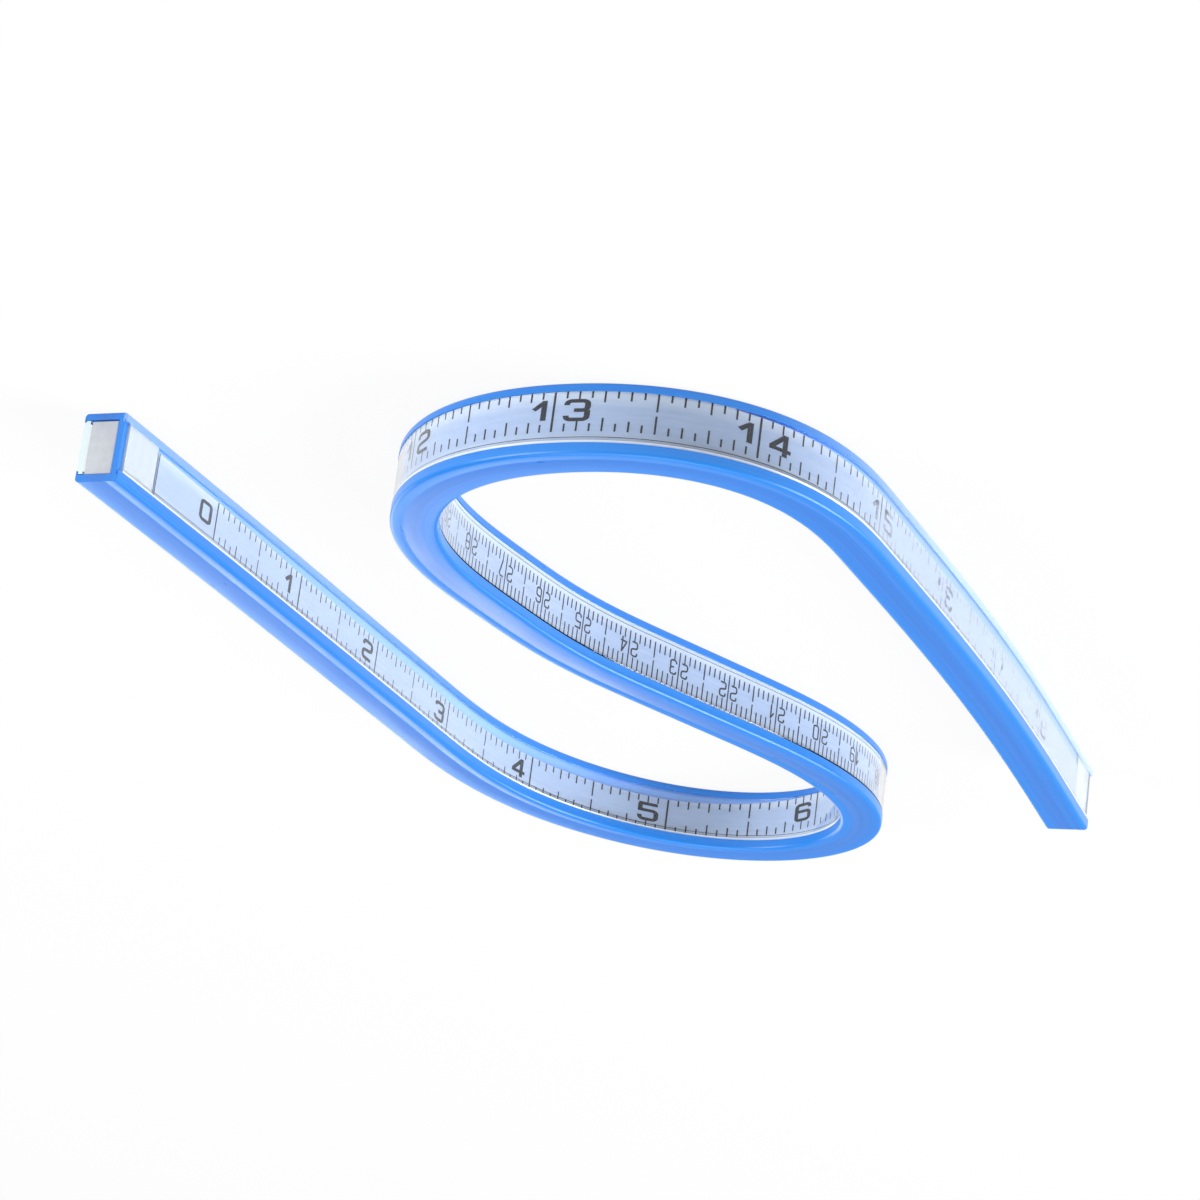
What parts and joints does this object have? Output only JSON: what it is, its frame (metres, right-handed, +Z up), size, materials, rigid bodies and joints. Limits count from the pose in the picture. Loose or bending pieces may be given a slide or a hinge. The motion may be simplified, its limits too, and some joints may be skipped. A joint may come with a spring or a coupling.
{
  "type": "flexible curve ruler",
  "caption": "Bendable drawing ruler with a lead core, inch and centimetre scales under clear windows, standing on edge in an S curve.",
  "frame": {"origin": "middle of the plan's bounding box, on the surface that the ruler stands on", "axes": "+Z up across the ruler's height; +Y along the longer side of the S in plan; the start of the scales is at +X"},
  "size_m": [0.1406, 0.1666, 0.0092],
  "materials": {
    "blue_pvc": "soft gloss",
    "lead": "dull",
    "spring_steel": "satin",
    "printed_strip": "printed matt",
    "clear_plastic": "clear",
    "grey_plastic": "satin"
  },
  "bodies": {
    "section_1": {"sleeve_1": "blue_pvc", "lead_core_1": "lead", "steel_strip_inch_1": "spring_steel", "steel_strip_cm_1": "spring_steel", "scale_inch_1": "printed_strip", "scale_cm_1": "printed_strip", "window_inch_1": "clear_plastic", "window_cm_1": "clear_plastic", "start_plug": "grey_plastic", "start_slot_filler": "grey_plastic"},
    "section_2": {"sleeve_2": "blue_pvc", "lead_core_2": "lead", "steel_strip_inch_2": "spring_steel", "steel_strip_cm_2": "spring_steel", "scale_inch_2": "printed_strip", "scale_cm_2": "printed_strip", "window_inch_2": "clear_plastic", "window_cm_2": "clear_plastic"},
    "section_3": {"sleeve_3": "blue_pvc", "lead_core_3": "lead", "steel_strip_inch_3": "spring_steel", "steel_strip_cm_3": "spring_steel", "scale_inch_3": "printed_strip", "scale_cm_3": "printed_strip", "window_inch_3": "clear_plastic", "window_cm_3": "clear_plastic"},
    "section_4": {"sleeve_4": "blue_pvc", "lead_core_4": "lead", "steel_strip_inch_4": "spring_steel", "steel_strip_cm_4": "spring_steel", "scale_inch_4": "printed_strip", "scale_cm_4": "printed_strip", "window_inch_4": "clear_plastic", "window_cm_4": "clear_plastic"},
    "section_5": {"sleeve_5": "blue_pvc", "lead_core_5": "lead", "steel_strip_inch_5": "spring_steel", "steel_strip_cm_5": "spring_steel", "scale_inch_5": "printed_strip", "scale_cm_5": "printed_strip", "window_inch_5": "clear_plastic", "window_cm_5": "clear_plastic"},
    "section_6": {"sleeve_6": "blue_pvc", "lead_core_6": "lead", "steel_strip_inch_6": "spring_steel", "steel_strip_cm_6": "spring_steel", "scale_inch_6": "printed_strip", "scale_cm_6": "printed_strip", "window_inch_6": "clear_plastic", "window_cm_6": "clear_plastic"},
    "section_7": {"sleeve_7": "blue_pvc", "lead_core_7": "lead", "steel_strip_inch_7": "spring_steel", "steel_strip_cm_7": "spring_steel", "scale_inch_7": "printed_strip", "scale_cm_7": "printed_strip", "window_inch_7": "clear_plastic", "window_cm_7": "clear_plastic", "end_plug": "grey_plastic", "end_slot_filler": "grey_plastic"}
  },
  "joints": [
    {"name": "bend_1", "type": "hinge", "parent": "section_2", "child": "section_1", "pos_m": [0.0246, 0.04576, 0.0046], "axis": [0, 0, -1], "range_deg": [-30, 6]},
    {"name": "bend_2", "type": "hinge", "parent": "section_3", "child": "section_2", "pos_m": [-0.03115, 0.07421, 0.0046], "axis": [0, 0, -1], "range_deg": [-35, 5]},
    {"name": "bend_3", "type": "hinge", "parent": "section_4", "child": "section_3", "pos_m": [-0.01081, 0.01406, 0.0046], "axis": [0, 0, -1], "range_deg": [-8, 3]},
    {"name": "bend_4", "type": "hinge", "parent": "section_4", "child": "section_5", "pos_m": [0.02695, -0.04129, 0.0046], "axis": [0, 0, 1], "range_deg": [-3, 10]},
    {"name": "bend_5", "type": "hinge", "parent": "section_5", "child": "section_6", "pos_m": [-0.00048, -0.08022, 0.0046], "axis": [0, 0, 1], "range_deg": [-3, 35]},
    {"name": "bend_6", "type": "hinge", "parent": "section_6", "child": "section_7", "pos_m": [-0.03984, -0.03027, 0.0046], "axis": [0, 0, 1], "range_deg": [-3, 30]}
  ]
}
